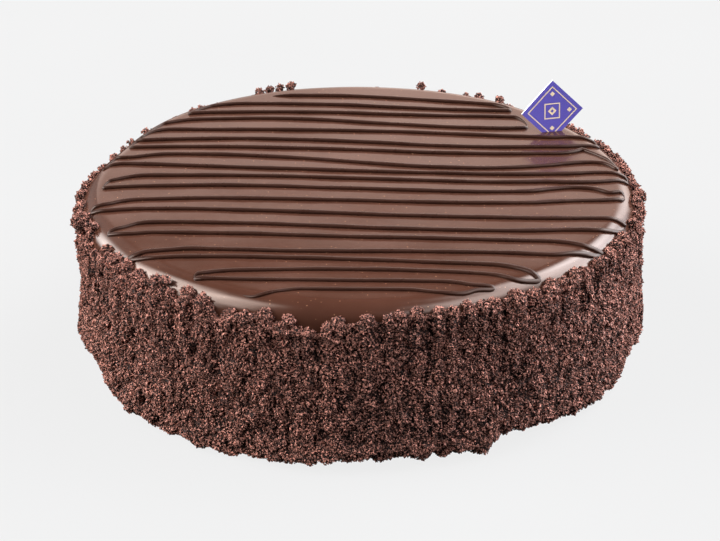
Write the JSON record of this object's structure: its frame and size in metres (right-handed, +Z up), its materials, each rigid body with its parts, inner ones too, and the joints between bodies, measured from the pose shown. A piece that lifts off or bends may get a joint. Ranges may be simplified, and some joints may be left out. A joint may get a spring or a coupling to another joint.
{
  "type": "prague cake",
  "caption": "Round chocolate layer cake, side coated in cake crumbs, top glazed and piped with a continuous zigzag, with a small square card standing in it.",
  "frame": {"origin": "on the surface the cake stands on, under the middle of the cake", "axes": "+Z up, +Y to the back, +X to the right; the card stands at the back right"},
  "size_m": [0.2423, 0.2424, 0.0961],
  "materials": {
    "crumb": "dry crumbly chocolate sponge crumbs, matte",
    "glaze": "set chocolate glaze, semi-gloss",
    "piping": "piped chocolate, semi-gloss",
    "card": "coated violet card with a plain gold pattern"
  },
  "bodies": {
    "root": {"crumb_coated_cake": "crumb", "poured_glaze": "glaze", "piped_zigzag": "piping", "corner_card": "card"}
  },
  "joints": []
}
